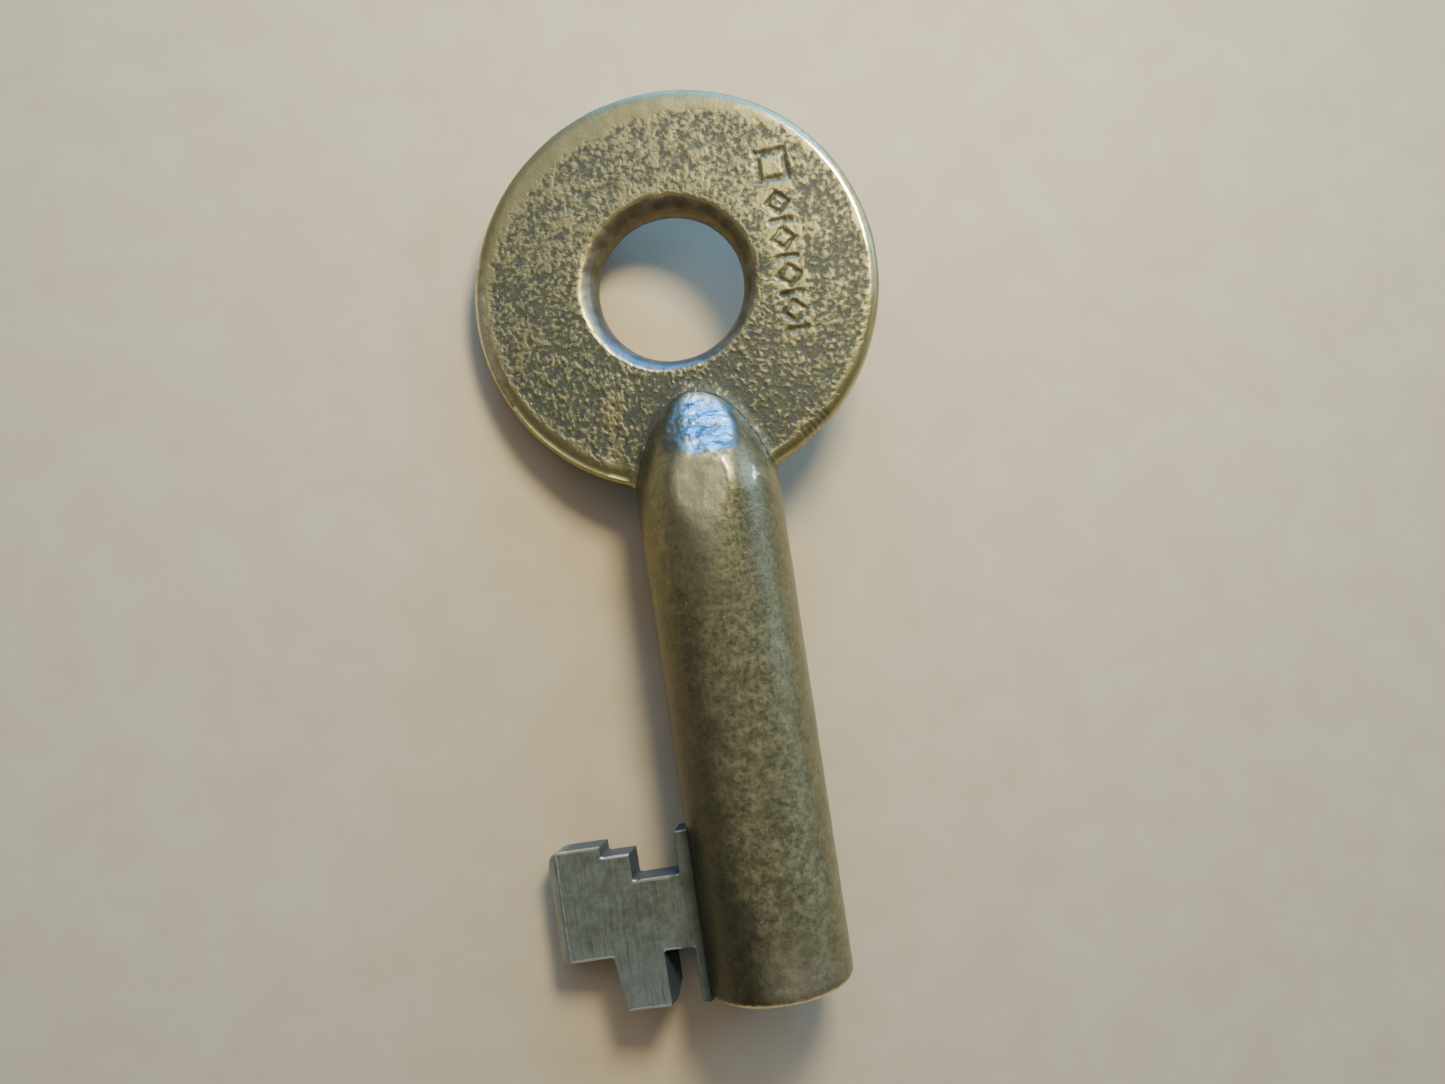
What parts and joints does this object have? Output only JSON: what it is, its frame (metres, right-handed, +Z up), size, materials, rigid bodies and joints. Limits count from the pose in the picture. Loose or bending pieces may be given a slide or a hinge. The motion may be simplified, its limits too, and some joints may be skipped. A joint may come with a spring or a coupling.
{
  "type": "barrel key",
  "caption": "Brass barrel key for a switch padlock: flat round bow with a ring hole, domed shoulder, hollow barrel and a stepped flat bit.",
  "frame": {"origin": "on the surface the key lies on, below the middle of its bounding box", "axes": "+Y along the barrel's axis, from its mouth towards the bow; +Z up from the surface; the key rests on its barrel and the bit's lower edge, so the bow's front face looks up, tilted 14.6 degrees towards -X, and the bit points to -X"},
  "size_m": [0.0254, 0.0558, 0.0089],
  "materials": {
    "cast_brass": "sand-cast and tarnished, with worn high spots and a polished rim",
    "worn_brass": "smooth handled patina, mottled olive brown",
    "milled_brass": "milled and filed, dulled, with bright worn edges"
  },
  "bodies": {
    "root": {"bow": "cast_brass", "shoulder": "worn_brass", "barrel": "worn_brass", "bit": "milled_brass"}
  },
  "joints": []
}
